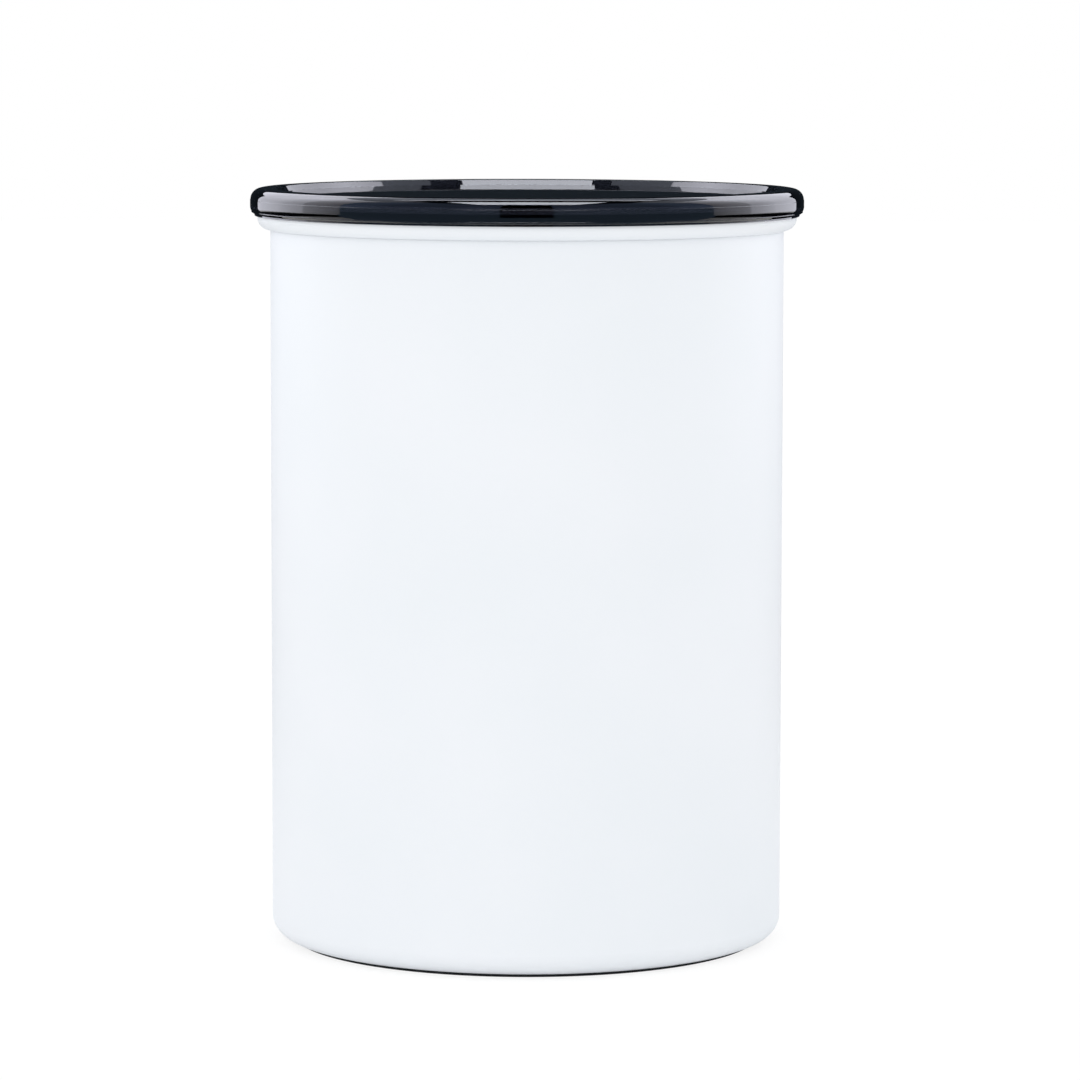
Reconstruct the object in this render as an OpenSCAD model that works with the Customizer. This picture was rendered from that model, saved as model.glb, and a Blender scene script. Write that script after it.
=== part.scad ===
// Coffee canister with a snap-over outer lid and a sliding plunger lid that carries an air valve.
// Millimetres, +Z up. The origin is on the floor, on the canister's centre line.

/* [Canister body] */
// Outer radius of the straight wall
body_r = 60; // [56:0.5:80]
// Height of the rolled rim's top above the floor
body_h = 173.1; // [150:0.1:260]
// Thickness of the drawn steel sheet
body_t = 0.7; // [0.5:0.05:1]
// Outer radius of the rounded bottom corner
corner_r = 4.8; // [3:0.1:7]
// Radius of the raised middle of the base
punt_r = 43; // [30:0.5:44]
// Height by which the middle of the base is raised
punt_h = 1.2; // [0.6:0.1:2.5]
// Width of the slope round the raised middle
punt_slope = 2.4; // [1:0.1:4]

/* [Rolled rim] */
// How far the roll stands out from the wall
curl_w = 3; // [2:0.1:4]
// Height of the straight stretch on the outside of the roll
curl_drop = 1.4; // [0.5:0.1:4]
// Slit between the sheet's free edge and the wall
curl_slit = 0.3; // [0.2:0.05:0.5]

/* [Foot ring] */
// Thickness of the non-slip ring that stands proud of the base
foot_h = 0.8; // [0.5:0.1:2]
// Radial width of the ring
foot_w = 7.6; // [4:0.1:8]
// Distance from the bottom corner's start to the ring's edge
foot_margin = 0.3; // [0:0.1:1]

/* [Outer lid] */
// Thickness of the lid's flat top
lid_t = 2.2; // [1.2:0.1:2.5]
// Height of the rim round the recessed top
lid_rim_h = 1.3; // [1:0.05:4]
// Distance from the canister's outer wall in to the recess floor's edge
recess_inset = 1.65; // [1.5:0.05:4]
// Width of the slope that rises from the recess floor to the rim
recess_slope = 0.85; // [0.5:0.05:2]
// Depth of the skirt below the lid's underside
skirt_h = 2.8; // [2:0.05:8]
// Thickness of the skirt
skirt_t = 1.4; // [1:0.1:2]
// Radius of the rounded top shoulder
shoulder_r = 2.5; // [1:0.1:3]
// Radius of the rounded lower edge
skirt_round = 2.2; // [0.5:0.05:2.6]
// Depth of the ring that plugs into the mouth
plug_h = 4.6; // [2:0.1:10]
// Thickness of the plug ring
plug_t = 1.3; // [0.8:0.1:2]

/* [Plunger plate] */
// Depth of the plunger's underside below the rim's top
plunger_depth = 73.1; // [66:0.1:140]
// Total height of the plunger plate
plate_h = 16; // [13:0.5:30]
// Thickness of the plate's upper side wall
plate_wall = 2.2; // [1.5:0.1:3]
// Height of the thick band that holds the gasket
band_h = 9; // [8:0.5:12]
// Radial width of that band
band_w = 3.8; // [3:0.1:6]
// Height of the floor's underside above the plunger's underside
floor_z = 3; // [2.5:0.1:4]
// Thickness of the floor
floor_t = 2.2; // [1.5:0.1:3]
// Number of stiffening ribs under the floor
rib_count = 8; // [4:4:16]
// Thickness of a rib
rib_t = 1.6; // [1:0.1:2.5]
// How far a rib's lower edge stays above the plunger's underside
rib_lift = 0.8; // [0.4:0.1:1.5]
// How far each rib's ends run into the collar and the band
rib_root = 0.5; // [0.3:0.1:1]
// Radius of the two posts that the folded handle rests on
post_r = 2.5; // [1.5:0.1:3.5]
// Angle of each post from the handle's middle
post_angle = 30; // [15:1:32]

/* [Wiper gasket] */
// Depth of the gasket's groove
groove_d = 2; // [1.2:0.1:2.6]
// Height of the groove
groove_w = 3.5; // [2.5:0.1:4]
// Height of the groove's lower side above the plunger's underside
groove_z = 3; // [2.5:0.1:4]
// Thickness of a lip at its tip
lip_t = 0.6; // [0.4:0.1:1]
// How far each lip reaches above or below the groove
lip_reach = 2; // [1:0.1:2.4]
// How far the gasket draws in between its lips
lip_waist = 0.8; // [0.4:0.1:1]

/* [Air valve] */
// Radius of the port through the floor
port_r = 5; // [4:0.1:6]
// Width of the raised seat round the port
seat_w = 1.5; // [1:0.1:2]
// Height of the seat above the floor
seat_h = 1; // [0.5:0.1:1.5]
// Radius of the silicone seal
seal_r = 8; // [7.6:0.1:9]
// Thickness of the seal
seal_t = 1.5; // [1:0.1:2]
// Radius of the stem's shaft
stem_r = 2; // [1.8:0.1:2.4]
// Radius of the stem's threaded top and of its waist inside the seal
stem_neck_r = 1.5; // [1.2:0.1:1.7]
// Radius of the button that holds the seal on
button_r = 3.4; // [2.5:0.1:3.8]
// Thickness of the button
button_t = 1.3; // [0.8:0.1:1.6]
// Radius of the stem's flange above the seal
stem_flange_r = 7.5; // [7:0.1:8.5]
// Thickness of that flange
stem_flange_t = 1.3; // [0.8:0.1:1.8]
// Radius of the spring's coil, to the middle of the wire
spring_r = 4.9; // [4.6:0.1:6]
// Thickness of the spring's wire
wire_d = 0.8; // [0.6:0.1:1]
// Number of full turns of the spring
spring_turns = 3; // [2:1:3]

/* [Valve housing] */
// Outer radius of the turret over the valve
turret_r = 13; // [12.6:0.1:13.2]
// Thickness of the turret's wall and roof
turret_t = 1.8; // [1.2:0.1:2]
// Height of the turret above the floor
turret_h = 11.8; // [11:0.1:12.5]
// Radius of the flange that is screwed down
flange_r = 18.5; // [18:0.1:20]
// Thickness of the flange
flange_t = 2; // [1.5:0.1:2.2]
// Wall round the stem's guide sleeve
sleeve_t = 1.5; // [1:0.1:2]
// Length of the guide sleeve below the roof
sleeve_drop = 2; // [1:0.1:2.2]
// Width of each air window
window_w = 8; // [4:0.5:10]
// Height of each air window
window_h = 3.5; // [2:0.1:4]
// Height of the windows' lower edge above the flange
window_lift = 0.6; // [0.4:0.1:1]
// How far each pin's inner boss stands out from the turret
pin_boss_proud = 0.7; // [0.5:0.1:1]
// Thickness of an ear that holds a handle pin
ear_t = 3; // [2:0.1:4]
// Width of an ear
ear_w = 9; // [8:0.5:12]

/* [Vent guard] */
// Radius of the perforated guard disc
guard_r = 9.5; // [8.5:0.1:10]
// Thickness of the disc
guard_t = 1.2; // [0.8:0.1:1.6]
// Width of the ledge that the disc seats on
guard_ledge = 1.5; // [1:0.1:1.8]
// Radius of each hole
vent_r = 0.9; // [0.6:0.05:1]
// Distance between the rings of holes
vent_step = 3; // [2.7:0.1:3]

/* [Bail handle] */
// Height of the pivot above the plunger's underside
pivot_z = 14.6; // [14.6:0.1:15]
// Distance from the pivot to the grip's outer edge
bail_reach = 45; // [38:0.5:48]
// Width of the grip
grip_w = 8; // [6:0.5:10]
// Thickness of the bail
bail_t = 5; // [4:0.1:5.6]
// Width of each arm at its hub
arm_w = 3.5; // [3:0.1:4.5]
// Half width of the bail at its grip end
bail_half_w = 32; // [28:0.5:34]
// Width of the arms where they meet the grip
arm_end_w = 5.5; // [4:0.1:7]
// Radius of the rounded corners
bail_round = 3; // [1:0.1:3.5]
// Radius of the lifting cam on each hub
cam_r = 6; // [5.4:0.1:6]
// Distance from the pivot to the cam's centre
cam_throw = 1.8; // [1:0.1:1.8]
// Angle of the cam's centre below the folded bail
cam_lag = 30; // [20:1:40]
// Width of each cam
cam_w = 2.9; // [2:0.1:3.2]
// Radius of the hub outside the cam
hub_r = 5; // [4:0.1:5.4]
// Radius of a handle pin
pin_r = 1.5; // [1.2:0.1:1.8]
// Width of the bar that the cams lift
bar_w = 5; // [4:0.1:6]
// Thickness of that bar
bar_t = 2.5; // [1.5:0.1:3]
// Radius of the bar's middle boss
bar_boss_r = 4.2; // [3.6:0.1:5]

/* [Fasteners] */
// Radius of the screws' circle
screw_circle_r = 15.5; // [15.4:0.1:15.7]
// Radius of a screw's shank
screw_r = 1.2; // [1:0.1:1.4]
// Radius of a screw's head
screw_head_r = 2.3; // [2:0.1:2.4]
// Height of a screw's head
screw_head_h = 1.5; // [1:0.1:2]
// Radius of the bosses under the floor
boss_r = 3; // [2.6:0.1:3.4]
// Floor of plastic left under each screw's tip
boss_floor = 0.6; // [0.4:0.1:1]
// Size of the stem nut across its corners
nut_d = 6.9; // [6:0.1:7.4]
// Height of the stem nut
nut_h = 2.4; // [1.5:0.1:3]

/* [Clearances] */
// Gap between the lid's underside and the rolled rim
seat_gap = 0.1; // [0.05:0.05:0.3]
// Gap between the skirt and the rolled rim
skirt_gap = 0.3; // [0.2:0.05:0.6]
// Gap between the plug ring and the canister's bore
plug_gap = 0.4; // [0.3:0.05:0.8]
// Gap between the plate's edge and the canister's bore
plate_gap = 2; // [1.5:0.1:3]
// Gap between the gasket's lips and the canister's bore
lip_gap = 0.3; // [0.2:0.05:0.5]
// Radial clearance of the handle's hubs on their pins
run_gap = 0.06; // [0.03:0.01:0.1]
// Radial clearance of a piece seated in its hole
fit_gap = 0.03; // [0.02:0.01:0.08]
// Gap between neighbouring parts that move past each other
side_gap = 0.4; // [0.3:0.05:0.5]
// Gap between the cams and the bar while the valve is shut
cam_gap = 0.3; // [0.25:0.05:0.5]
// Gap between the folded handle and its posts
rest_gap = 0.1; // [0.05:0.05:0.3]
// Radial clearance of a screw in the housing's flange
screw_gap = 0.2; // [0.1:0.05:0.3]
// Gap below each screw's tip
tip_gap = 0.2; // [0.1:0.05:0.4]

/* [Hidden] */
$fn = 96;

// How far a cut runs past the face it opens
over = 1;

// Canister
bore_r = body_r - body_t;
corner_c = body_r - corner_r;
corner_z = foot_h + corner_r;
rim_r = body_r + curl_w;
curl_r = (curl_w + body_t) / 2;
curl_c = bore_r + curl_r;
curl_z = body_h - curl_r;
turn_r = curl_w - curl_slit;
turn_z = curl_z - curl_drop;
foot_r = corner_c - foot_margin;

// Outer lid
lid_z = body_h + seat_gap;
recess_z = lid_z + lid_t;
lid_top = recess_z + lid_rim_h;
skirt_ir = rim_r + skirt_gap;
lid_r = skirt_ir + skirt_t;
skirt_z = lid_z - skirt_h;
recess_r = body_r - recess_inset;
plug_r = bore_r - plug_gap;

// Plunger, with heights above its underside
plunger_z = body_h - plunger_depth;
plate_r = bore_r - plate_gap;
floor_top = floor_z + floor_t;
lip_r = bore_r - lip_gap;
groove_mid = groove_z + groove_w / 2;
seat_z = floor_top + seat_h;
stem_flange_z = seat_z + seal_t;
spring_z = stem_flange_z + stem_flange_t;
roof_z = floor_top + turret_h - turret_t;
turret_top = floor_top + turret_h;
flange_top = floor_top + flange_t;
chamber_r = turret_r - turret_t;
collar_r = guard_r + guard_ledge;

// Places along the pivot, outwards from the middle
boss_x = turret_r + pin_boss_proud;
cam_x = boss_x + side_gap;
arm_x = cam_x + cam_w;
ear_x = arm_x + arm_w + side_gap;
ear_out = ear_x + ear_t;
bar_x = arm_x - side_gap;
pin_x = chamber_r + side_gap;
// Each arm runs straight past its ear, at any angle of the handle
arm_straight = norm([ear_w / 2, bail_t / 2]) + side_gap;

// The bar rests just above the cams of the folded handle
bar_z = pivot_z + cam_r - cam_throw * sin(cam_lag) + cam_gap;
stem_top = bar_z + bar_t + nut_h;
screw_tip = boss_floor + tip_gap;
screw_spots = [45, 135, 225, 315];

echo(valve_lift_mm = cam_throw * (sin(90 - cam_lag) + sin(cam_lag)));
echo(pivot_height_mm = plunger_z + pivot_z, spring_top_mm = plunger_z + roof_z);

// A rectangle of the section from r1 to r2 and from z1 to z2
module band(r1, r2, z1, z2) {
    translate([r1, z1]) square([r2 - r1, z2 - z1]);
}

// What a round of radius r takes off an outer corner; its centre is the round's centre
module corner_cut(r) {
    difference() {
        square(r + over);
        circle(r);
    }
}

// A quarter or half of a bent sheet, kept where the window stands
module bent_sheet(r, window_from, window_size) {
    intersection() {
        difference() {
            circle(r);
            circle(r - body_t);
        }
        translate(window_from) square(window_size);
    }
}

// Canister

module base_section() {
    band(0, punt_r, foot_h + punt_h, foot_h + punt_h + body_t);
    polygon([
        [punt_r, foot_h + punt_h],
        [punt_r + punt_slope, foot_h],
        [punt_r + punt_slope, foot_h + body_t],
        [punt_r, foot_h + punt_h + body_t]
    ]);
    band(punt_r + punt_slope, corner_c, foot_h, foot_h + body_t);
    translate([corner_c, corner_z]) bent_sheet(corner_r, [0, -corner_r], [corner_r, corner_r]);
}

// The sheet turns outwards over the top, runs down and turns in again in one wide quarter bend
module rim_section() {
    translate([curl_c, curl_z]) bent_sheet(curl_r, [-curl_r, 0], [2 * curl_r, curl_r]);
    band(rim_r - body_t, rim_r, turn_z, curl_z);
    translate([rim_r - turn_r, turn_z]) bent_sheet(turn_r, [0, -turn_r], [turn_r, turn_r]);
}

module canister_body() {
    color([0.95, 0.96, 0.98]) rotate_extrude() {
        base_section();
        band(bore_r, body_r, corner_z, curl_z);
        rim_section();
    }
}

module foot_ring() {
    color([0.13, 0.14, 0.15]) rotate_extrude() band(foot_r - foot_w, foot_r, 0, foot_h);
}

// Outer lid

module lid_section() {
    difference() {
        band(0, lid_r, skirt_z, lid_top);
        polygon([
            [-over, recess_z],
            [recess_r, recess_z],
            [recess_r + recess_slope, lid_top],
            [recess_r + recess_slope, lid_top + over],
            [-over, lid_top + over]
        ]);
        band(-over, skirt_ir, skirt_z - over, lid_z);
        translate([lid_r - shoulder_r, lid_top - shoulder_r]) corner_cut(shoulder_r);
        translate([lid_r - skirt_round, skirt_z + skirt_round]) mirror([0, 1]) corner_cut(skirt_round);
    }
    difference() {
        band(plug_r - plug_t, plug_r, lid_z - plug_h, lid_z);
        translate([plug_r - plug_t / 2, lid_z - plug_h + plug_t / 2]) mirror([0, 1]) corner_cut(plug_t / 2);
    }
}

module outer_lid() {
    color([0.15, 0.16, 0.19, 0.85]) rotate_extrude() lid_section();
}

// Plunger

module at_screws() {
    for (a = screw_spots) rotate(a) translate([screw_circle_r, 0]) children();
}

module plate_section() {
    difference() {
        band(plate_r - band_w, plate_r, 0, band_h);
        band(plate_r - groove_d, plate_r + over, groove_z, groove_z + groove_w);
    }
    band(plate_r - plate_wall, plate_r, band_h, plate_h);
    band(port_r, plate_r - band_w, floor_z, floor_top);
    band(port_r, port_r + seat_w, floor_top, seat_z);
    band(guard_r + fit_gap, collar_r, 0, guard_t);
    band(guard_r - guard_ledge, collar_r, guard_t, floor_z);
}

module plunger_plate() {
    grip_mid = bail_reach - grip_w / 2;
    post_top = pivot_z - bail_t / 2 - rest_gap;
    translate([0, 0, plunger_z]) color([0.17, 0.18, 0.2]) {
        difference() {
            union() {
                rotate_extrude() plate_section();
                at_screws() cylinder(r = boss_r, h = floor_z);
                for (i = [0 : rib_count - 1]) rotate((i + 0.5) * 360 / rib_count)
                    translate([collar_r - rib_root, -rib_t / 2, rib_lift])
                    cube([plate_r - band_w - collar_r + 2 * rib_root, rib_t, floor_z - rib_lift]);
                for (a = [-post_angle, post_angle]) rotate(a - 90) translate([grip_mid, 0, floor_z])
                    cylinder(r = post_r, h = post_top - floor_z);
            }
            at_screws() translate([0, 0, boss_floor]) cylinder(r = screw_r + fit_gap, h = floor_top);
        }
    }
}

// The foot sits in the groove and two lips lean out, measured from the groove's middle
module gasket_section() {
    foot_half = groove_w / 2 - fit_gap;
    lower_half = [
        [plate_r - groove_d + fit_gap, -foot_half],
        [plate_r, -foot_half],
        [lip_r - lip_t, -foot_half - lip_reach],
        [lip_r, -foot_half - lip_reach + lip_t / 2],
        [lip_r - lip_waist, 0]
    ];
    upper_half = [for (i = [len(lower_half) - 2 : -1 : 0]) [lower_half[i][0], -lower_half[i][1]]];
    translate([0, groove_mid]) polygon(concat(lower_half, upper_half));
}

module wiper_gasket() {
    translate([0, 0, plunger_z]) color([0.75, 0.76, 0.78]) rotate_extrude() gasket_section();
}

module vent_guard() {
    translate([0, 0, plunger_z]) color([0.62, 0.64, 0.66]) difference() {
        cylinder(r = guard_r, h = guard_t);
        for (ring = [0 : 2], i = [0 : max(6 * ring, 1) - 1])
            rotate(i * 360 / max(6 * ring, 1)) translate([ring * vent_step, 0, -over])
            cylinder(r = vent_r, h = guard_t + 2 * over);
    }
}

// Valve housing

module ear() {
    translate([ear_x, -ear_w / 2, floor_top]) cube([ear_t, ear_w, pivot_z - floor_top]);
    translate([ear_x, 0, pivot_z]) rotate([0, 90, 0]) cylinder(r = ear_w / 2, h = ear_t);
}

module pin_boss() {
    translate([0, -ear_w / 2, floor_top]) cube([boss_x, ear_w, turret_h]);
}

module valve_housing() {
    translate([0, 0, plunger_z]) color([0.17, 0.18, 0.2]) difference() {
        union() {
            difference() {
                union() {
                    translate([0, 0, floor_top]) cylinder(r = turret_r, h = turret_h);
                    translate([0, 0, floor_top]) cylinder(r = flange_r, h = flange_t);
                    translate([-ear_out, -ear_w / 2, floor_top]) cube([2 * ear_out, ear_w, flange_t]);
                    for (side = [0, 1]) mirror([side, 0, 0]) {
                        ear();
                        pin_boss();
                    }
                }
                translate([0, 0, floor_top - over]) cylinder(r = chamber_r, h = roof_z - floor_top + over);
            }
            translate([0, 0, roof_z - sleeve_drop]) cylinder(r = stem_r + run_gap + sleeve_t, h = sleeve_drop);
        }
        translate([0, 0, floor_z]) cylinder(r = stem_r + run_gap, h = turret_h + floor_z);
        translate([-window_w / 2, -turret_r - over, flange_top + window_lift])
            cube([window_w, 2 * turret_r + 2 * over, window_h]);
        for (side = [0, 1]) mirror([side, 0, 0]) translate([chamber_r - over, 0, pivot_z])
            rotate([0, 90, 0]) cylinder(r = pin_r + fit_gap, h = ear_out);
        at_screws() cylinder(r = screw_r + screw_gap, h = flange_top + over);
    }
}

module housing_screws() {
    slot = screw_head_r * 0.3;
    translate([0, 0, plunger_z]) color([0.75, 0.76, 0.78]) at_screws() difference() {
        union() {
            translate([0, 0, screw_tip]) cylinder(r = screw_r, h = flange_top - screw_tip);
            translate([0, 0, flange_top]) cylinder(r = screw_head_r, h = screw_head_h);
        }
        for (a = [0, 90]) rotate(a) translate([-screw_head_r * 0.6, -slot / 2, flange_top + screw_head_h / 2])
            cube([screw_head_r * 1.2, slot, screw_head_h]);
    }
}

// Valve

module stem_section() {
    band(0, button_r, seat_z - button_t, seat_z);
    band(0, stem_neck_r, seat_z, stem_flange_z);
    band(0, stem_flange_r, stem_flange_z, spring_z);
    band(0, stem_r, spring_z, bar_z);
    band(0, stem_neck_r, bar_z, stem_top);
}

module valve_stem() {
    translate([0, 0, plunger_z]) color([0.7, 0.71, 0.73]) rotate_extrude() stem_section();
}

module valve_seal() {
    translate([0, 0, plunger_z]) color([0.8, 0.42, 0.3]) rotate_extrude()
        band(stem_neck_r + fit_gap, seal_r, seat_z, stem_flange_z);
}

module lift_bar() {
    translate([0, 0, plunger_z + bar_z]) color([0.7, 0.71, 0.73]) difference() {
        union() {
            translate([-bar_x + bar_w / 2, -bar_w / 2, 0]) cube([2 * bar_x - bar_w, bar_w, bar_t]);
            for (side = [-1, 1]) translate([side * (bar_x - bar_w / 2), 0, 0]) cylinder(r = bar_w / 2, h = bar_t);
            cylinder(r = bar_boss_r, h = bar_t);
        }
        translate([0, 0, -over]) cylinder(r = stem_neck_r + fit_gap, h = bar_t + 2 * over);
    }
}

module stem_nut() {
    translate([0, 0, plunger_z + bar_z + bar_t]) color([0.8, 0.81, 0.83]) difference() {
        cylinder(d = nut_d, h = nut_h, $fn = 6);
        translate([0, 0, -over]) cylinder(r = stem_neck_r + fit_gap, h = nut_h + 2 * over);
    }
}

// Spring: one wire, straight for one thickness at each end, on the flange below and the roof above
ring_sides = 6;
rings_per_turn = 8;
spring_steps = spring_turns * rings_per_turn;
spring_low = spring_z + wire_d;
spring_rise = roof_z - spring_z - 2 * wire_d;

function round_point(a, z) = [spring_r * cos(a), spring_r * sin(a), z];

spring_route = concat(
    [round_point(0, spring_z)],
    [for (i = [0 : spring_steps]) round_point(i * 360 / rings_per_turn, spring_low + spring_rise * i / spring_steps)],
    [round_point(spring_turns * 360, roof_z)]
);
spring_last = len(spring_route) - 1;

function unit(v) = v / norm(v);
function run_at(i) = i == 0 || i == spring_last ? [0, 0, 1] : unit(spring_route[i + 1] - spring_route[i - 1]);
function outward_at(i) = let (p = spring_route[i], out = unit([p[0], p[1], 0]), run = run_at(i))
    unit(out - (out * run) * run);
function ring_at(i) = let (out = outward_at(i), side = cross(run_at(i), out))
    [for (k = [0 : ring_sides - 1]) let (a = k * 360 / ring_sides)
        spring_route[i] + wire_d / 2 * (cos(a) * out + sin(a) * side)];

spring_self_gap = min([
    for (i = [1 : spring_last - 1], j = [i + rings_per_turn / 2 : 1 : spring_last - 1])
        norm(spring_route[i] - spring_route[j])
]) - wire_d;
echo(spring_self_gap_mm = spring_self_gap);

module valve_spring() {
    points = [for (i = [0 : spring_last]) each ring_at(i)];
    sides = [
        for (i = [0 : spring_last - 1], k = [0 : ring_sides - 1])
            let (a = i * ring_sides + k, b = i * ring_sides + (k + 1) % ring_sides)
            each [[a, a + ring_sides, b], [b, a + ring_sides, b + ring_sides]]
    ];
    first_cap = [for (k = [1 : ring_sides - 2]) [0, k, k + 1]];
    top = spring_last * ring_sides;
    last_cap = [for (k = [1 : ring_sides - 2]) [top, top + k + 1, top + k]];
    translate([0, 0, plunger_z]) color([0.8, 0.81, 0.83])
        polyhedron(points = points, faces = concat(sides, first_cap, last_cap));
}

// Handle

// A form with parallel sides near the pivot that then spreads towards -Y, inside a circle
module spread_form(top_y, near_x, far_x, reach) {
    offset(r = bail_round, $fn = 32) offset(delta = -bail_round) intersection() {
        circle(reach);
        polygon([
            [-near_x, top_y],
            [near_x, top_y],
            [near_x, -arm_straight],
            [far_x, -bail_reach],
            [-far_x, -bail_reach],
            [-near_x, -arm_straight]
        ]);
    }
}

// The bail seen from above, folded towards -Y
module bail_outline() {
    difference() {
        spread_form(0, arm_x + arm_w, bail_half_w, bail_reach);
        spread_form(bail_reach, arm_x, bail_half_w - arm_end_w, bail_reach - grip_w);
    }
}

module hub() {
    translate([cam_x, -cam_throw * cos(cam_lag), pivot_z - cam_throw * sin(cam_lag)]) rotate([0, 90, 0])
        cylinder(r = cam_r, h = cam_w);
    translate([arm_x, 0, pivot_z]) rotate([0, 90, 0]) cylinder(r = hub_r, h = arm_w);
}

module bail_handle() {
    translate([0, 0, plunger_z]) color([0.1, 0.1, 0.11]) difference() {
        union() {
            translate([0, 0, pivot_z - bail_t / 2]) linear_extrude(bail_t) bail_outline();
            for (side = [0, 1]) mirror([side, 0, 0]) hub();
        }
        for (side = [0, 1]) mirror([side, 0, 0]) translate([cam_x - over, 0, pivot_z]) rotate([0, 90, 0])
            cylinder(r = pin_r + run_gap, h = ear_x - cam_x + over);
    }
}

module handle_pins() {
    translate([0, 0, plunger_z + pivot_z]) color([0.75, 0.76, 0.78])
        for (side = [0, 1]) mirror([side, 0, 0]) translate([pin_x, 0, 0]) rotate([0, 90, 0])
            cylinder(r = pin_r, h = ear_out - pin_x);
}

canister_body();
foot_ring();
outer_lid();
plunger_plate();
wiper_gasket();
vent_guard();
valve_housing();
housing_screws();
bail_handle();
handle_pins();
valve_stem();
valve_seal();
valve_spring();
lift_bar();
stem_nut();
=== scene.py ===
# Coffee canister with a smoked outer lid and a plunger lid, dressed for a plain white studio.
import math
import bmesh
import bpy
from mathutils import Matrix, Vector


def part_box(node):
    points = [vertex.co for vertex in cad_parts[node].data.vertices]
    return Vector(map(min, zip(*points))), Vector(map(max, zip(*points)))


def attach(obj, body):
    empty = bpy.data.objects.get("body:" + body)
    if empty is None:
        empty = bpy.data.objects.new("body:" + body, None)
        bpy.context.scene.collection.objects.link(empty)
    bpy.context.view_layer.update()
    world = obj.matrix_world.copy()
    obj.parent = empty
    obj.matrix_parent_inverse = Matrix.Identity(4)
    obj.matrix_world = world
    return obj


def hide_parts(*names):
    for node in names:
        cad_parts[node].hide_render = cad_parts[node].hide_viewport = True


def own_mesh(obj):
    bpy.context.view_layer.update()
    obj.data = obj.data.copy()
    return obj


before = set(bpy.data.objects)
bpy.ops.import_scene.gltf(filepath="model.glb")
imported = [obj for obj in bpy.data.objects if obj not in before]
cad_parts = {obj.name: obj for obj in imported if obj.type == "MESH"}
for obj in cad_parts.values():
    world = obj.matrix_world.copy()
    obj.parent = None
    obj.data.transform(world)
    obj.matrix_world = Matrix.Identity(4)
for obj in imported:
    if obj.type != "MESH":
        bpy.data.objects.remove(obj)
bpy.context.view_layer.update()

MM = 0.001

# Camera, fitted to the photograph's outline of the canister
CAMERA_LENS_MM = 172.1
CAMERA_SENSOR_MM = 36
CAMERA_PLACE = (3.14 * MM, -1209 * MM, 220.4 * MM)
CAMERA_PITCH = math.radians(5.97)
CAMERA_ROLL = 0.0017

# Sizes in millimetres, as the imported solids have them: the can and its foot ring
BODY_R = 60.0
SHEET = 0.7
CORNER_R = 4.8
PUNT_R = 43.0
PUNT_H = 1.2
PUNT_SLOPE = 2.4
CURL_W = 3.0
CURL_DROP = 1.4
CURL_SLIT = 0.3
FOOT_W = 7.6

# The outer lid
LID_REST_GAP = 0.1
LID_T = 2.2
RECESS_INSET = 1.65
RECESS_SLOPE = 0.85
SHOULDER_R = 2.5
SKIRT_GAP = 0.3
SKIRT_ROUND = 2.2
SKIRT_H = 2.8
PLUG_GAP = 0.4
PLUG_T = 1.3

# The wiper gasket and its groove
GROOVE_D = 2.0
GROOVE_W = 3.5
GROOVE_MID = 4.75
FIT_GAP = 0.03
LIP_GAP = 0.3
LIP_T = 0.6
LIP_REACH = 2.0
LIP_WAIST = 0.8

# The valve's spring, and the handle's arch to the corners of its chords
SPRING_R = 4.9
WIRE_D = 0.8
SPRING_TURNS = 3
BAIL_REACH = 44.97
BAIL_GRIP = 8.0

# Fine lines of the outer lid that the solids leave out, in millimetres and degrees below level:
# the step round the middle of the skirt, where the two halves of its mould meet
WITNESS_R = 0.08
# the raised line that a ring in the mould leaves on the lower round
PARTING_R = 0.14
PARTING_AT = -36
# the place where the lower round ends in a narrow upright land
LAND_AT = -58

# Where the coat on the roll ends, outside the bore
COAT_EDGE = 0.12
# Heights at which the can's long wall is cut into shorter faces
WALL_CUTS = (60, 115)
# Distance from a bend at which a straight is held
HOLD = 0.1

# Steps to a full turn
TURN_STEPS = 256
WIPER_STEPS = 192
SPRING_STEPS = 40
WIRE_SIDES = 14

# Vertices nearer than this are one, in metres, in a mesh made here and in a CAD node
MESH_MERGE = 1e-6
CAD_MERGE = 2e-6
# CAD faces that turn by less than this many degrees are one flat
FLAT_TURN = 0.6

# Corners of the pieces' boxes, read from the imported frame
BODY_LOW, BODY_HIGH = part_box("canister_body")
LID_LOW, LID_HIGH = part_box("outer_lid")
FOOT_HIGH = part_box("foot_ring")[1]
PLATE_LOW, PLATE_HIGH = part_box("plunger_plate")
SPRING_LOW, SPRING_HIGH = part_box("valve_spring")


# Materials

# Noise mostly lies between these values, so they give the ends of each range that it drives
NOISE_LOW = 0.3
NOISE_HIGH = 0.7


def hex_colour(text):
    """An sRGB hex colour as linear RGBA."""
    parts = [int(text[i:i + 2], 16) / 255 for i in (0, 2, 4)]
    linear = [c / 12.92 if c <= 0.04045 else ((c + 0.055) / 1.055) ** 2.4 for c in parts]
    return linear + [1.0]


def add(tree, kind, inputs=None, **settings):
    """Adds a node. Settings are its own properties; inputs are values, or sockets to link from."""
    made = tree.nodes.new(kind)
    for name, value in settings.items():
        setattr(made, name, value)
    for name, value in (inputs or {}).items():
        if isinstance(value, bpy.types.NodeSocket):
            tree.links.new(value, made.inputs[name])
        else:
            made.inputs[name].default_value = value
    return made


def new_material(name):
    material = bpy.data.materials.new(name)
    material.use_nodes = True
    material.node_tree.nodes.clear()
    return material, material.node_tree


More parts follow.
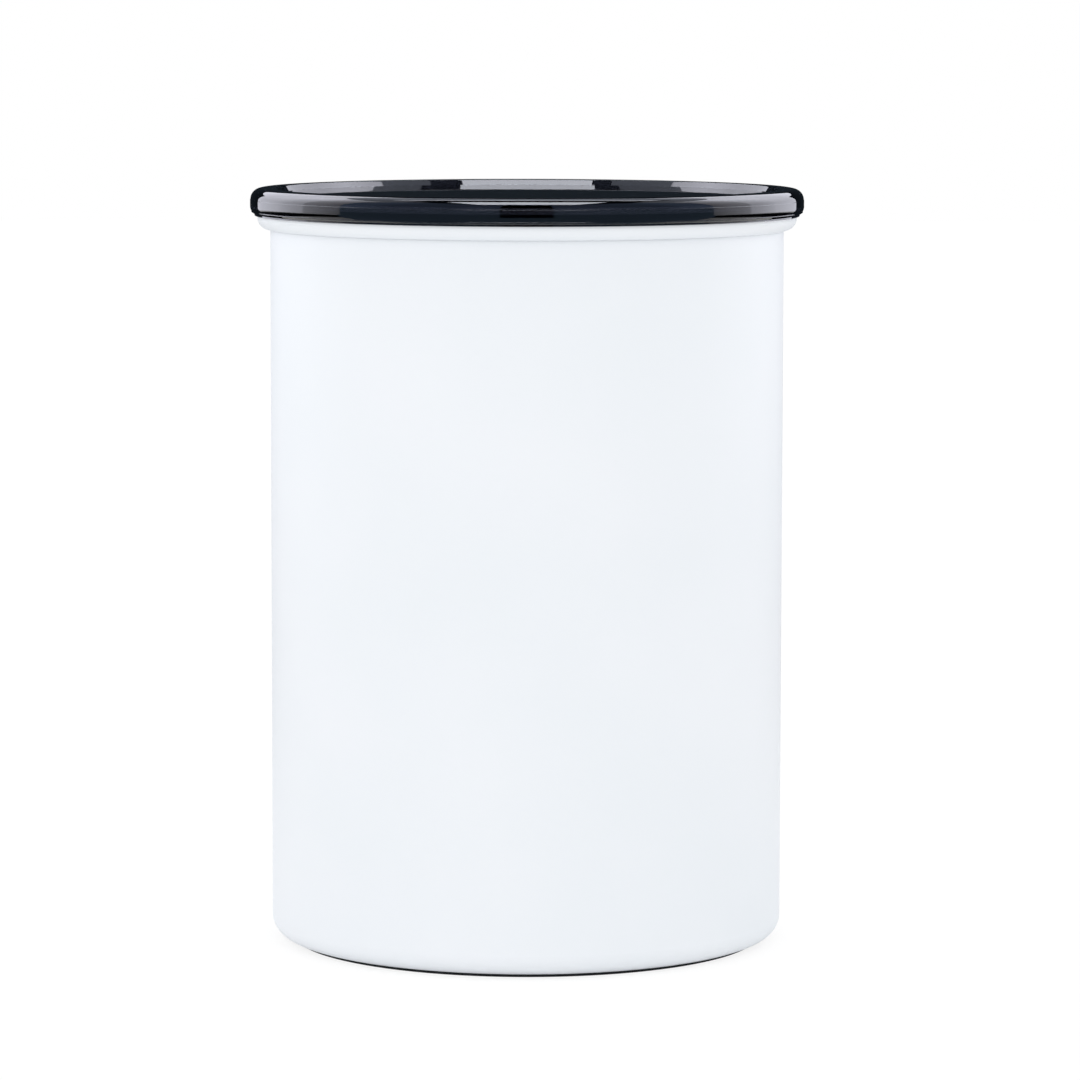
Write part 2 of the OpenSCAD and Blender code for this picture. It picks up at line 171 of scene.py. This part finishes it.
def finish(name, tones, tone_mm, rough, grain_mm, depth_mm, shine, stretch=(1, 1, 1)):
    """A made surface: two tones that drift over tone_mm, and a grain of grain_mm.

    The grain varies the gloss between the ends of rough, and the height by depth_mm. Shine holds
    the shader's other inputs, and a stretch below 1 draws the grain out along that axis.
    """
    material, tree = new_material(name)
    place = add(tree, "ShaderNodeTexCoord")
    drift = add(tree, "ShaderNodeTexNoise", {
        "Vector": place.outputs["Object"], "Scale": 1 / (tone_mm * MM), "Detail": 2.0})
    spread = add(tree, "ShaderNodeMapRange", {
        "Value": drift.outputs["Fac"], "From Min": NOISE_LOW, "From Max": NOISE_HIGH})
    tone = add(tree, "ShaderNodeMix", {
        0: spread.outputs["Result"], 6: hex_colour(tones[0]), 7: hex_colour(tones[1])},
        data_type="RGBA")
    drawn = add(tree, "ShaderNodeMapping", {
        "Vector": place.outputs["Object"], "Scale": stretch})
    grain = add(tree, "ShaderNodeTexNoise", {
        "Vector": drawn.outputs["Vector"], "Scale": 1 / (grain_mm * MM),
        "Detail": 4.0, "Roughness": 0.6})
    gloss = add(tree, "ShaderNodeMapRange", {
        "Value": grain.outputs["Fac"], "From Min": NOISE_LOW, "From Max": NOISE_HIGH,
        "To Min": rough[0], "To Max": rough[1]})
    shader = add(tree, "ShaderNodeBsdfPrincipled", {
        "Base Color": tone.outputs[2], "Roughness": gloss.outputs["Result"], **shine})
    if depth_mm:
        height = add(tree, "ShaderNodeBump", {
            "Height": grain.outputs["Fac"], "Distance": depth_mm * MM})
        tree.links.new(height.outputs["Normal"], shader.inputs["Normal"])
    add(tree, "ShaderNodeOutputMaterial", {"Surface": shader.outputs[0]})
    return material


# Polyester powder coat, sprayed and baked: a satin white skin with the faint orange peel of
# melted powder.
powder_coat = finish(
    "powder_coat_white", ("F3F6FA", "F0F4F8"), 45, (0.46, 0.56), 1.1, 0.006,
    {"IOR": 1.5, "Specular IOR Level": 0.2})

# 304 stainless sheet, spun against emery: fine rings of scratches, whose sides scatter light and
# dull the mirror.
bore_steel = finish(
    "steel_brushed_round", ("C2C4C7", "B4B7BA"), 18, (0.34, 0.46), 0.5, 0.004,
    {"Metallic": 0.55}, stretch=(0.02, 0.02, 1))

# 304 stainless sheet, linished along its length: straight fine scratches.
sheet_steel = finish(
    "steel_brushed_flat", ("BDBFC2", "ABAEB2"), 12, (0.22, 0.34), 0.8, 0.008,
    {"Metallic": 1.0}, stretch=(0.05, 1, 1))

# Mild steel, turned and bright zinc plated: shiny, with a faint bluish unevenness from the
# plating bath.
zinc_steel = finish(
    "steel_zinc_plated", ("C9CCD2", "B4B8C0"), 3, (0.14, 0.26), 0.5, 0.003, {"Metallic": 1.0})

# 302 stainless spring wire, cold drawn: bright, with the fine unevenness of the die.
spring_wire = finish(
    "wire_drawn_stainless", ("BABCC0", "A2A5A9"), 2, (0.18, 0.32), 0.4, 0.003,
    {"Metallic": 1.0}, stretch=(1, 1, 4))

# Clear copolyester with a smoke tint, injection moulded in a polished tool: dark, glassy and
# barely see-through.
smoked_plastic = finish(
    "copolyester_smoked", ("1A1C24", "171920"), 20, (0.0, 0.015), 9, 0,
    {"IOR": 1.5, "Transmission Weight": 1.0})

# Die-cut elastomer pad: dead matt with a fine leathery grain.
foot_rubber = finish(
    "elastomer_black", ("232529", "1B1D20"), 8, (0.72, 0.88), 0.6, 0.03, {"IOR": 1.5})

# ABS, injection moulded in a spark-eroded tool: charcoal, with a fine even pebble that spreads
# highlights.
inner_lid_plastic = finish(
    "abs_charcoal", ("2F3135", "282A2E"), 22, (0.34, 0.5), 0.45, 0.012, {"IOR": 1.54})

# Glass-filled nylon, injection moulded: black, a little glossier where the tool was polished for
# the hand.
handle_plastic = finish(
    "nylon_black", ("1C1D20", "151618"), 15, (0.28, 0.42), 0.4, 0.01, {"IOR": 1.53})

# Acetal, moulded: off-white, waxy and smooth.
stem_plastic = finish(
    "acetal_natural", ("DCDBD6", "D2D1CC"), 6, (0.26, 0.38), 0.8, 0.004, {"IOR": 1.48})

# Food-grade silicone, compression moulded: soft and matt, letting a little light in at thin edges.
gasket_silicone = finish(
    "silicone_grey", ("BFC2C6", "B2B5BA"), 12, (0.5, 0.66), 0.35, 0.008,
    {"IOR": 1.41, "Subsurface Weight": 0.3, "Subsurface Radius": (0.9, 0.9, 0.9),
     "Subsurface Scale": MM})
seal_silicone = finish(
    "silicone_terracotta", ("B5563C", "A84C34"), 6, (0.5, 0.66), 0.35, 0.008,
    {"IOR": 1.41, "Subsurface Weight": 0.3, "Subsurface Radius": (1.0, 0.35, 0.2),
     "Subsurface Scale": MM})


# Mesh helpers

def arc(centre, radius, start, end, steps):
    """Points on an arc, with angles in degrees from the outward direction towards up."""
    angles = [math.radians(start + (end - start) * i / steps) for i in range(steps + 1)]
    return [(centre[0] + radius * math.cos(a), centre[1] + radius * math.sin(a)) for a in angles]


def held(section):
    """Adds a point just inside each end of a long straight, so that smooth shading leaves it so.

    An end on the axis gets none: the sliver faces that it would make there tilt the shading.
    """
    points = []
    for start, end in zip(section, section[1:] + section[:1]):
        points.append(start)
        length = math.dist(start, end)
        if length > 8 * HOLD:
            shares = [HOLD / length] * bool(start[0]) + [1 - HOLD / length] * bool(end[0])
            points += [tuple(a + (b - a) * t for a, b in zip(start, end)) for t in shares]
    return points


def shade(bm, sharp):
    """Smooths the faces, apart from the edges that turn by more than sharp degrees."""
    for face in bm.faces:
        face.smooth = True
    for edge in bm.edges:
        joined = len(edge.link_faces) == 2
        edge.smooth = joined and edge.calc_face_angle(0) < math.radians(sharp)


def to_object(bm, name, *materials):
    mesh = bpy.data.meshes.new(name)
    bm.to_mesh(mesh)
    bm.free()
    for material in materials:
        mesh.materials.append(material)
    made = bpy.data.objects.new(name, mesh)
    bpy.context.scene.collection.objects.link(made)
    return made


def turned(section, steps=TURN_STEPS):
    """Spins an outline of (radius, height) points in millimetres about Z into a closed shell."""
    bm = bmesh.new()
    corners = [bm.verts.new((r * MM, 0, z * MM)) for r, z in section]
    edges = [bm.edges.new((start, end)) for start, end in zip(corners, corners[1:] + corners[:1])
             if start.co.x or end.co.x]
    bmesh.ops.spin(bm, geom=corners + edges, cent=(0, 0, 0), axis=(0, 0, 1), angle=2 * math.pi,
                   steps=steps, use_merge=True)
    bmesh.ops.remove_doubles(bm, verts=bm.verts, dist=MESH_MERGE)
    bmesh.ops.recalc_face_normals(bm, faces=bm.faces)
    return bm


def bend_chords(bm, radius):
    """Bends the long level chords that stand for an arc of this radius about Z."""
    chords = [e for e in bm.edges if e.calc_length() > MM
              and abs(e.verts[0].co.z - e.verts[1].co.z) < CAD_MERGE
              and all(abs(v.co.xy.length - radius * MM) < 0.06 * MM for v in e.verts)]
    made = bmesh.ops.subdivide_edges(bm, edges=chords, cuts=4, use_grid_fill=True)
    for vert in made["geom_inner"]:
        if isinstance(vert, bmesh.types.BMVert):
            vert.co.xy *= radius * MM / vert.co.xy.length


def eased_copy(node, round_mm, segments=2, sharp=35, arcs=()):
    """A merged copy of a CAD node: flats joined again, arcs bent and sharp edges rounded."""
    bm = bmesh.new()
    bm.from_mesh(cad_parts[node].data)
    bmesh.ops.remove_doubles(bm, verts=bm.verts, dist=CAD_MERGE)
    bmesh.ops.dissolve_limit(bm, angle_limit=math.radians(FLAT_TURN), verts=bm.verts,
                             edges=bm.edges)
    for radius in arcs:
        bend_chords(bm, radius)
    edges = [e for e in bm.edges
             if len(e.link_faces) == 2 and e.calc_face_angle(0) > math.radians(sharp)]
    bmesh.ops.bevel(bm, geom=edges, offset=round_mm * MM, offset_type="OFFSET", segments=segments,
                    affect="EDGES", profile=0.5, material=-1, clamp_overlap=True)
    bmesh.ops.remove_doubles(bm, verts=bm.verts, dist=MESH_MERGE)
    shade(bm, sharp)
    return bm


def flats_first(piece):
    """Lets the large faces set the shading at their borders, so that only the rounds bend."""
    weighted = piece.modifiers.new("flats_first", "WEIGHTED_NORMAL")
    weighted.mode = "FACE_AREA"
    weighted.keep_sharp = True


def fit(piece, body, node):
    """Puts a finished piece in its CAD node's place and on its body."""
    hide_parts(node)
    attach(piece, body)


# The canister and its outer lid

def can_section():
    """The bent sheet's outline: up the outside, round the roll, down the bore, over the base."""
    low, top = BODY_LOW[2] / MM, BODY_HIGH[2] / MM
    bore = BODY_R - SHEET
    corner = (BODY_R - CORNER_R, low + CORNER_R)
    curl_r = (CURL_W + SHEET) / 2
    curl = (bore + curl_r, top - curl_r)
    turn_r = CURL_W - CURL_SLIT
    turn = (BODY_R + CURL_SLIT, curl[1] - CURL_DROP)
    outside = [(0, low + PUNT_H), (PUNT_R, low + PUNT_H), (PUNT_R + PUNT_SLOPE, low)]
    outside += arc(corner, CORNER_R, -90, 0, 12)
    outside += [(BODY_R, z) for z in (*WALL_CUTS, curl[1])]
    cavity = arc(curl, curl_r - SHEET, 180, 0, 14) + arc(turn, turn_r - SHEET, 0, -90, 10)
    over_top = arc(turn, turn_r, -90, 0, 18) + arc(curl, curl_r, 0, 180, 24)
    inside = [(bore, z) for z in reversed(WALL_CUTS)]
    inside += arc(corner, CORNER_R - SHEET, 0, -90, 10)
    inside += [(PUNT_R + PUNT_SLOPE, low + SHEET), (PUNT_R, low + PUNT_H + SHEET),
               (0, low + PUNT_H + SHEET)]
    return held(outside + cavity[1:] + over_top + inside)


def make_can():
    """The drawn can: coated outside and over the roll, bare steel from its inner side down."""
    bm = turned(can_section())
    for face in bm.faces:
        middle = face.calc_center_median() / MM
        outward = Vector((middle.x, middle.y, 0))
        faces_in = face.normal.z > 0.1 or face.normal.dot(outward) < 0
        within = middle.xy.length < BODY_R - SHEET + COAT_EDGE
        face.material_index = int(faces_in and within)
    shade(bm, 30)
    shell = to_object(bm, "canister_shell", powder_coat, bore_steel)
    fit(shell, "canister", "canister_body")


def make_foot_pad():
    """The foot ring, with small rounds at the edges of its underside."""
    outer, high = FOOT_HIGH[0] / MM, FOOT_HIGH[2] / MM
    inner, edge = outer - FOOT_W, 0.25
    section = [(inner, high)] + arc((inner + edge, edge), edge, 180, 270, 3)
    section += arc((outer - edge, edge), edge, -90, 0, 3) + [(outer, high)]
    bm = turned(held(section))
    shade(bm, 50)
    fit(to_object(bm, "foot_pad", foot_rubber), "canister", "foot_ring")


def lid_section():
    """The outer lid's outline: recess floor, rim, skirt, underside and plug ring."""
    top, low = LID_HIGH[2] / MM, LID_LOW[2] / MM
    outer = LID_HIGH[0] / MM
    skirt_ir = BODY_R + CURL_W + SKIRT_GAP
    underside = BODY_HIGH[2] / MM + LID_REST_GAP
    recess = underside + LID_T
    skirt_low = underside - SKIRT_H
    recess_r = BODY_R - RECESS_INSET
    plug_r = BODY_R - SHEET - PLUG_GAP
    plug_ir = plug_r - PLUG_T

    # The recess, its wall and the round at the wall's top
    slope = math.degrees(math.atan2(top - recess, RECESS_SLOPE))
    edge = 0.3
    tangent = edge * math.tan(math.radians(slope / 2))
    points = [(0, recess), (recess_r, recess)]
    points += arc((recess_r + RECESS_SLOPE + tangent, top - edge), edge, 90 + slope, 90, 5)

    # The shoulder, down to the fine step that reaches the skirt's full width
    points += arc((outer - WITNESS_R - SHOULDER_R, top - SHOULDER_R), SHOULDER_R, 90, 1, 24)
    step_z = top - SHOULDER_R - 1.5 * WITNESS_R
    points += arc((outer - WITNESS_R, step_z), WITNESS_R, 80, 0, 6)

    # The lower round, with its raised line, down to the land
    lower = (outer - SKIRT_ROUND, skirt_low + SKIRT_ROUND)
    spread = math.degrees(PARTING_R / SKIRT_ROUND)
    points += arc(lower, SKIRT_ROUND, 0, PARTING_AT + spread, 10)
    line = arc(lower, SKIRT_ROUND, PARTING_AT, PARTING_AT, 1)[0]
    points += arc(line, PARTING_R, PARTING_AT + 75, PARTING_AT - 75, 8)
    points += arc(lower, SKIRT_ROUND, PARTING_AT - spread, LAND_AT, 8)

    # The land, the skirt's lower edge and its inner side
    land_r, chamfer, inner_round = points[-1][0], 0.04, 0.4
    points += [(land_r, skirt_low + chamfer), (land_r - chamfer, skirt_low)]
    points += [(skirt_ir + chamfer, skirt_low), (skirt_ir, skirt_low + chamfer)]
    points += [(skirt_ir, underside - inner_round)]
    points += arc((skirt_ir - inner_round, underside - inner_round), inner_round, 0, 90, 3)

    # The plug ring under the rim
    root = 0.5
    points += [(plug_r + root, underside), (plug_r, underside - root)]
    points += arc((plug_r - PLUG_T / 2, low + PLUG_T / 2), PLUG_T / 2, 0, -90, 6)
    points += [(plug_ir, low), (plug_ir, underside - root), (plug_ir - root, underside)]
    return held(points + [(0, underside)])


def make_outer_lid():
    bm = turned(lid_section())
    shade(bm, 34)
    fit(to_object(bm, "smoked_lid", smoked_plastic), "lid", "outer_lid")


# The plunger lid and its valve

def make_wiper():
    """The wiper ring: a foot in the plate's groove and two soft lips leaning out to the bore."""
    plate_r = PLATE_HIGH[0] / MM
    middle = PLATE_LOW[2] / MM + GROOVE_MID
    lip_r = BODY_R - SHEET - LIP_GAP
    half = GROOVE_W / 2 - FIT_GAP
    tip = half + LIP_REACH
    # Steps out and up, from the groove's lower corner at the plate's edge
    mouth = [(-0.1, 0), (0.25, -0.35)]
    # Steps out and up, from the full reach of the lip at the level of its tip
    lip = [(-LIP_T, 0.05), (0.1 - LIP_T, 0), (-0.18, 0.1), (0, 0.3), (-0.25, 1.2)]
    lower = [(plate_r - GROOVE_D + FIT_GAP, -half)]
    lower += [(plate_r + out, up - half) for out, up in mouth]
    lower += [(lip_r + out, up - tip) for out, up in lip]
    lower += [(lip_r - LIP_WAIST + 0.06, -0.6)]
    outline = lower + [(lip_r - LIP_WAIST, 0)] + [(r, -z) for r, z in reversed(lower)]
    bm = turned(held([(r, middle + z) for r, z in outline]), WIPER_STEPS)
    shade(bm, 45)
    fit(to_object(bm, "wiper_ring", gasket_silicone), "plunger", "wiper_gasket")


def make_spring():
    """Round wire wound on a helix under the turret's roof."""
    low, high = SPRING_LOW[2], SPRING_HIGH[2]
    wire_r = WIRE_D * MM / 2
    steps = SPRING_STEPS * SPRING_TURNS
    rise = high - low - 2 * wire_r
    start = (Matrix.Translation((SPRING_R * MM, 0, low + wire_r))
             @ Matrix.Rotation(math.pi / 2, 4, "X"))
    bm = bmesh.new()
    bmesh.ops.create_circle(bm, segments=WIRE_SIDES, radius=wire_r, matrix=start)
    bmesh.ops.spin(bm, geom=bm.verts[:] + bm.edges[:], cent=(0, 0, 0), axis=(0, 0, 1),
                   dvec=(0, 0, rise / steps), angle=2 * math.pi * SPRING_TURNS, steps=steps)
    bmesh.ops.holes_fill(bm, edges=[e for e in bm.edges if e.is_boundary])
    bmesh.ops.recalc_face_normals(bm, faces=bm.faces)
    shade(bm, 50)
    piece = to_object(bm, "valve_spring_wire", spring_wire)
    fit(piece, "plunger", "valve_spring")
    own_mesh(piece)


def make_plunger():
    """The wiper, the spring, and the moulded, pressed and turned pieces as eased CAD copies."""
    make_wiper()
    make_spring()
    # By body: CAD node, name, slot, material, and the size and segments of the rounded edges
    rows_on = {
        "plunger": [
            ("plunger_plate", "inner_lid_dish", "inner_lid_plastic", inner_lid_plastic, 0.35, 2),
            ("valve_housing", "valve_turret", "inner_lid_plastic", inner_lid_plastic, 0.3, 2),
            ("vent_guard", "vent_guard_disc", "stainless_sheet", sheet_steel, 0.12, 2),
            ("housing_screws", "turret_screws", "bright_steel", zinc_steel, 0.18, 2),
            ("handle_pins", "pivot_pins", "bright_steel", zinc_steel, 0.2, 2),
        ],
        "handle": [
            ("bail_handle", "bail", "handle_plastic", handle_plastic, 0.9, 4),
        ],
        "valve": [
            ("valve_stem", "stem", "stem_plastic", stem_plastic, 0.15, 2),
            ("valve_seal", "seal_washer", "seal_silicone", seal_silicone, 0.25, 3),
            ("lift_bar", "lifting_bar", "stainless_sheet", sheet_steel, 0.3, 2),
            ("stem_nut", "hex_nut", "bright_steel", zinc_steel, 0.25, 2),
        ],
    }
    arcs = {"bail_handle": (BAIL_REACH, BAIL_REACH - BAIL_GRIP)}
    for body, rows in rows_on.items():
        for node, name, slot, material, round_mm, segments in rows:
            bm = eased_copy(node, round_mm, segments, arcs=arcs.get(node, ()))
            piece = to_object(bm, name, material)
            flats_first(piece)
            fit(piece, body, node)


# Camera and studio

def set_camera():
    data = bpy.data.cameras.new("camera")
    data.lens = CAMERA_LENS_MM
    data.sensor_width = CAMERA_SENSOR_MM
    camera = bpy.data.objects.new("camera", data)
    bpy.context.scene.collection.objects.link(camera)
    camera.matrix_world = (Matrix.Translation(CAMERA_PLACE)
                           @ Matrix.Rotation(math.pi / 2 - CAMERA_PITCH, 4, "X")
                           @ Matrix.Rotation(CAMERA_ROLL, 4, "Z"))
    bpy.context.scene.camera = camera


def reflected_only(card):
    """Hides a softbox or flag from all but reflections, as if it stood outside the picture."""
    card.visible_camera = False
    card.visible_diffuse = False
    card.visible_transmission = False
    card.visible_volume_scatter = False
    card.visible_shadow = False


def glow(name, colour, strength):
    """A plain, even light of its own, or a dark cloth when it is weak."""
    material, tree = new_material(name)
    lit = add(tree, "ShaderNodeEmission", {"Color": hex_colour(colour), "Strength": strength})
    add(tree, "ShaderNodeOutputMaterial", {"Surface": lit.outputs[0]})
    return material


def side_glow(name, stops, foot, head, gain):
    """An uneven softbox round the canister; stops are (degrees from the camera's side, strength).

    Its strength also grows gain times from height foot to height head, nearer to its lamp.
    """
    material, tree = new_material(name)
    place = add(tree, "ShaderNodeTexCoord")
    apart = add(tree, "ShaderNodeSeparateXYZ", {"Vector": place.outputs["Object"]})
    across = add(tree, "ShaderNodeMath", {0: apart.outputs["X"]}, operation="ABSOLUTE")
    # atan2(|x|, y) falls from pi on the camera's side to 0 behind the canister
    back = add(tree, "ShaderNodeMath", {
        0: across.outputs[0], 1: apart.outputs["Y"]}, operation="ARCTAN2")
    strength = stops[0][1]
    for (first, low), (second, high) in zip(stops, stops[1:]):
        step = add(tree, "ShaderNodeMapRange", {
            "Value": back.outputs[0], "From Min": math.pi - math.radians(first),
            "From Max": math.pi - math.radians(second), "To Min": 0.0, "To Max": high - low})
        total = add(tree, "ShaderNodeMath", {
            0: step.outputs["Result"], 1: strength}, operation="ADD")
        strength = total.outputs[0]
    upper = add(tree, "ShaderNodeMapRange", {
        "Value": apart.outputs["Z"], "From Min": foot, "From Max": head,
        "To Min": 1.0, "To Max": gain})
    level = add(tree, "ShaderNodeMath", {
        0: upper.outputs["Result"], 1: strength}, operation="MULTIPLY")
    lit = add(tree, "ShaderNodeEmission", {
        "Color": hex_colour("EAEBF7"), "Strength": level.outputs[0]})
    add(tree, "ShaderNodeOutputMaterial", {"Surface": lit.outputs[0]})
    return material


def curved_card(name, radius, low, high, start, end, material):
    """An upright card bent round the canister, from start to end in degrees from +X towards +Y."""
    turn = math.radians(start)
    bm = bmesh.new()
    foot, head = [bm.verts.new((radius * math.cos(turn), radius * math.sin(turn), z))
                  for z in (low, high)]
    edge = bm.edges.new((foot, head))
    bmesh.ops.spin(bm, geom=[foot, head, edge], cent=(0, 0, 0), axis=(0, 0, 1),
                   angle=math.radians(end - start), steps=max(8, round(abs(end - start) / 4)))
    reflected_only(to_object(bm, name, material))


def ring_card(name, inner, outer, start, end, material):
    """A card that lies on the floor round the canister, from start to end as above."""
    turn, lift = math.radians(start), 0.002
    bm = bmesh.new()
    near, far = [bm.verts.new((r * math.cos(turn), r * math.sin(turn), lift))
                 for r in (inner, outer)]
    edge = bm.edges.new((near, far))
    bmesh.ops.spin(bm, geom=[near, far, edge], cent=(0, 0, 0), axis=(0, 0, 1),
                   angle=math.radians(end - start), steps=48)
    reflected_only(to_object(bm, name, material))


def flat_card(name, x_low, x_high, y_low, y_high, z, material):
    """A level card over the canister."""
    bm = bmesh.new()
    middle = Matrix.Translation(((x_low + x_high) / 2, (y_low + y_high) / 2, z))
    size = Matrix.Diagonal(((x_high - x_low) / 2, (y_high - y_low) / 2, 1, 1))
    bmesh.ops.create_grid(bm, x_segments=1, y_segments=1, size=1, matrix=middle @ size)
    reflected_only(to_object(bm, name, material))


def make_canopy():
    """The dim room round the set: its walls catch some light on the camera's side."""
    radius, foot = 1.9, 0.1
    bm = bmesh.new()
    ribs = [bm.verts.new((radius * math.cos(a), 0, foot + radius * math.sin(a)))
            for a in (math.radians(10 * i) for i in range(10))]
    edges = [bm.edges.new(pair) for pair in zip(ribs, ribs[1:])]
    bmesh.ops.spin(bm, geom=ribs + edges, cent=(0, 0, 0), axis=(0, 0, 1), angle=2 * math.pi,
                   steps=48, use_merge=True)
    bmesh.ops.remove_doubles(bm, verts=bm.verts, dist=MESH_MERGE)
    material, tree = new_material("unlit_room")
    place = add(tree, "ShaderNodeTexCoord")
    apart = add(tree, "ShaderNodeSeparateXYZ", {"Vector": place.outputs["Object"]})
    # Dimmer at the camera's own end, almost dark behind the canister and at the ceiling
    nearer = add(tree, "ShaderNodeMapRange", {
        "Value": apart.outputs["Y"], "From Min": -0.9, "From Max": -0.6,
        "To Min": 0.55, "To Max": 0.85})
    camera_half = add(tree, "ShaderNodeMapRange", {
        "Value": apart.outputs["Y"], "From Min": -0.15, "From Max": -0.05,
        "To Min": 1.0, "To Max": 0.03})
    walls = add(tree, "ShaderNodeMapRange", {
        "Value": apart.outputs["Z"], "From Min": 1.58, "From Max": 1.68,
        "To Min": 1.0, "To Max": 0.04})
    level = add(tree, "ShaderNodeMath", {
        0: nearer.outputs["Result"], 1: camera_half.outputs["Result"]}, operation="MULTIPLY")
    level = add(tree, "ShaderNodeMath", {
        0: level.outputs[0], 1: walls.outputs["Result"]}, operation="MULTIPLY")
    lit = add(tree, "ShaderNodeEmission", {
        "Color": hex_colour("B8D2FF"), "Strength": level.outputs[0]})
    add(tree, "ShaderNodeOutputMaterial", {"Surface": lit.outputs[0]})
    reflected_only(to_object(bm, "room_canopy", material))


def set_cards():
    """Softboxes and flags, placed by what the photograph's lid shows of its own studio."""
    side = side_glow("softbox_side", [
        (78.5, 1.1), (87, 1.65), (97, 2.1), (99.5, 2.2), (101, 3.4), (120, 3.6), (128, 3.1),
        (138, 2.4), (155, 1.9)], 0.24, 0.62, 2.0)
    curved_card("softbox_left", 0.55, 0.10, 0.80, 108, 191.5, side)
    curved_card("softbox_right", 0.55, 0.10, 0.80, -11.5, 72, side)

    # Overhead, all at one height
    over = 1.1
    front = glow("softbox_front", "F2F5FF", 11.0)
    flat_card("softbox_over_front", -0.37, 0.37, -0.83, -0.22, over, front)
    flat_card("strip_light", -0.48, 0.48, 0.09, 0.21, over, glow("strip", "F2F5FF", 6.0))
    flat_card("ceiling_back", -1.15, 1.15, 0.21, 1.0, over, glow("ceiling", "E6EEFF", 1.5))
    ceiling_side = glow("ceiling_side", "E6EEFF", 1.25)
    flat_card("ceiling_left", -1.15, -0.48, -0.26, 0.21, over, ceiling_side)
    flat_card("ceiling_right", 0.55, 1.15, -0.26, 0.21, over, ceiling_side)

    # Flags behind the canister and behind the camera
    black = glow("black_cloth", "505A70", 0.02)
    curtain = glow("dark_curtain", "B8D4F0", 0.026)
    curved_card("flag_behind", 0.75, -0.05, 0.95, 62, 118, curtain)
    curved_card("flag_low", 0.5, -0.05, 0.31, 52.5, 127.5, curtain)
    curved_card("flag_camera", 0.8, 0.0, 0.9, 259.5, 280.5, black)

    # The table's top and edge in the dim front of the set, and black cloth on it behind
    gloom = glow("table_gloom", "B6D9FF", 0.4)
    curved_card("table_edge", 0.9, 0.0, 0.172, 188, 352, gloom)
    ring_card("table_front", 0.068, 0.9, 188, 352, gloom)
    ring_card("cloth_behind", 0.34, 0.9, -8, 188, black)
    make_canopy()


def set_world():
    """Even light from all round; the camera, gloss and glass see plain white."""
    world = bpy.data.worlds.new("studio")
    bpy.context.scene.world = world
    world.use_nodes = True
    tree = world.node_tree
    tree.nodes.clear()
    rays = add(tree, "ShaderNodeLightPath")
    seen = add(tree, "ShaderNodeMath", {
        0: rays.outputs["Is Camera Ray"], 1: rays.outputs["Is Glossy Ray"]}, operation="MAXIMUM")
    shown = add(tree, "ShaderNodeMath", {
        0: seen.outputs[0], 1: rays.outputs["Is Transmission Ray"]}, operation="MAXIMUM")
    ambient = add(tree, "ShaderNodeBackground", {
        "Color": hex_colour("FDFDFD"), "Strength": 0.99})
    white = add(tree, "ShaderNodeBackground", {"Color": (1, 1, 1, 1), "Strength": 1.0})
    mix = add(tree, "ShaderNodeMixShader", {
        0: shown.outputs[0], 1: ambient.outputs[0], 2: white.outputs[0]})
    add(tree, "ShaderNodeOutputWorld", {"Surface": mix.outputs[0]})


def set_floor():
    """White paper: the camera sees it as the white backdrop, with the canister's soft shadow."""
    bm = bmesh.new()
    bmesh.ops.create_circle(bm, cap_ends=True, segments=96, radius=4.0)
    material, tree = new_material("paper_white")
    rays = add(tree, "ShaderNodeLightPath")
    place = add(tree, "ShaderNodeTexCoord")
    fibre = add(tree, "ShaderNodeTexNoise", {
        "Vector": place.outputs["Object"], "Scale": 1 / (60 * MM)})
    tone = add(tree, "ShaderNodeMix", {
        0: fibre.outputs["Fac"], 6: hex_colour("F9F9F9"), 7: hex_colour("FDFDFD")},
        data_type="RGBA")
    paper = add(tree, "ShaderNodeBsdfDiffuse", {"Color": tone.outputs[2]})
    shaded = add(tree, "ShaderNodeBsdfDiffuse", {"Color": (0.2, 0.2, 0.2, 1)})
    base = add(tree, "ShaderNodeEmission", {"Color": (1, 1, 1, 1), "Strength": 0.82})
    backdrop = add(tree, "ShaderNodeAddShader", {0: shaded.outputs[0], 1: base.outputs[0]})
    mix = add(tree, "ShaderNodeMixShader", {
        0: rays.outputs["Is Camera Ray"], 1: paper.outputs[0], 2: backdrop.outputs[0]})
    add(tree, "ShaderNodeOutputMaterial", {"Surface": mix.outputs[0]})
    to_object(bm, "floor", material)


def set_key_lamp():
    """A large soft lamp, high at the front left, that no reflection shows."""
    data = bpy.data.lights.new("key", "AREA")
    data.shape = "SQUARE"
    data.size = 1.2
    data.energy = 1.4
    lamp = bpy.data.objects.new("key", data)
    bpy.context.scene.collection.objects.link(lamp)
    place, aim = Vector((-0.7, -1.4, 0.7)), Vector((0, 0, 0.09))
    lamp.location = place
    lamp.rotation_euler = (aim - place).to_track_quat("-Z", "Y").to_euler()
    lamp.visible_camera = False
    lamp.visible_glossy = False


set_camera()
set_world()
set_floor()
set_cards()
set_key_lamp()
make_can()
make_foot_pad()
make_outer_lid()
make_plunger()

bpy.context.scene.view_settings.view_transform = "Standard"
